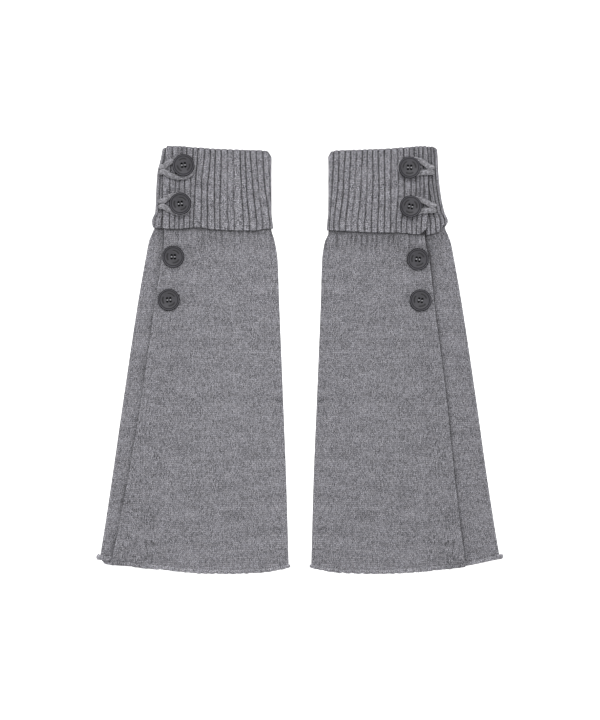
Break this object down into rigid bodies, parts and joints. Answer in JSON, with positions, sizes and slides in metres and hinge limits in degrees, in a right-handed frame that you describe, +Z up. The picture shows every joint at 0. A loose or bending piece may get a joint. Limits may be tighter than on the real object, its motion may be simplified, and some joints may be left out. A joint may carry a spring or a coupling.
{
  "type": "pair of leg warmers",
  "caption": "Flared knitted leg warmers laid flat, with a wrap-over front, a turned-down ribbed cuff, round buttons and button loops.",
  "frame": {"origin": "bottom centre of the pair's bounding box, on the surface that it lies on", "axes": "+Y along the legs towards the cuffs, +Z up from the surface, +X to the right as seen from above with the cuffs at the top"},
  "size_m": [0.4055, 0.4267, 0.0224],
  "materials": {
    "jersey": "matt grey marl jersey knit",
    "rib": "matt grey marl rib knit",
    "loop_cord": "matt knitted cord",
    "button": "satin charcoal"
  },
  "bodies": {
    "root": {"body_left": "jersey", "body_right": "jersey", "cuff_left": "rib", "cuff_right": "rib", "button_left_1": "button", "button_left_2": "button", "button_left_3": "button", "button_left_4": "button", "button_right_1": "button", "button_right_2": "button", "button_right_3": "button", "button_right_4": "button", "loop_left_1": "loop_cord", "loop_left_2": "loop_cord", "loop_right_1": "loop_cord", "loop_right_2": "loop_cord"}
  },
  "joints": []
}
